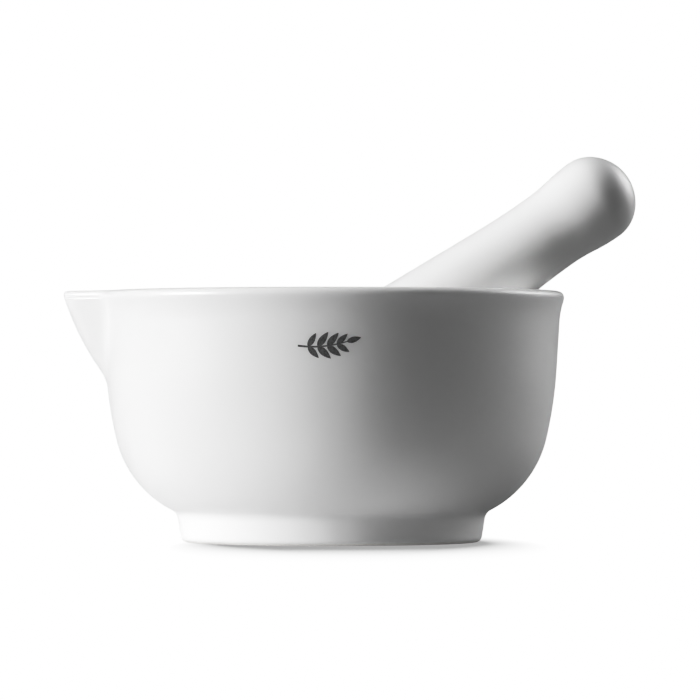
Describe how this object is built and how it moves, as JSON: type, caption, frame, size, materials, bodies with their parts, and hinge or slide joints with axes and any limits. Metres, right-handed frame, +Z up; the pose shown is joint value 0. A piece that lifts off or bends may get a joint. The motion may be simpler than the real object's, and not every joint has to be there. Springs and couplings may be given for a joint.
{
  "type": "mortar and pestle",
  "caption": "Round porcelain grinding bowl with a foot ring and a pouring spout, and a knobbed pestle leaning in it.",
  "frame": {"origin": "centre of the foot ring's standing edge, on the bowl's axis", "axes": "+Z up along the bowl's axis; +X towards the side of the rim where the pestle rests; the spout points along -X"},
  "size_m": [0.1721, 0.14, 0.1158],
  "materials": {
    "mortar_porcelain": "white glaze outside and on the rim, unglazed grinding surface and standing edge",
    "pestle_porcelain": "white glaze on the handle, unglazed head"
  },
  "bodies": {
    "mortar": {"mortar": "mortar_porcelain"},
    "pestle": {"pestle": "pestle_porcelain"}
  },
  "joints": [
    {"name": "pestle_lift", "type": "slide", "parent": "mortar", "child": "pestle", "axis": [0, 0, 1], "range_m": [0, 0.11]}
  ]
}
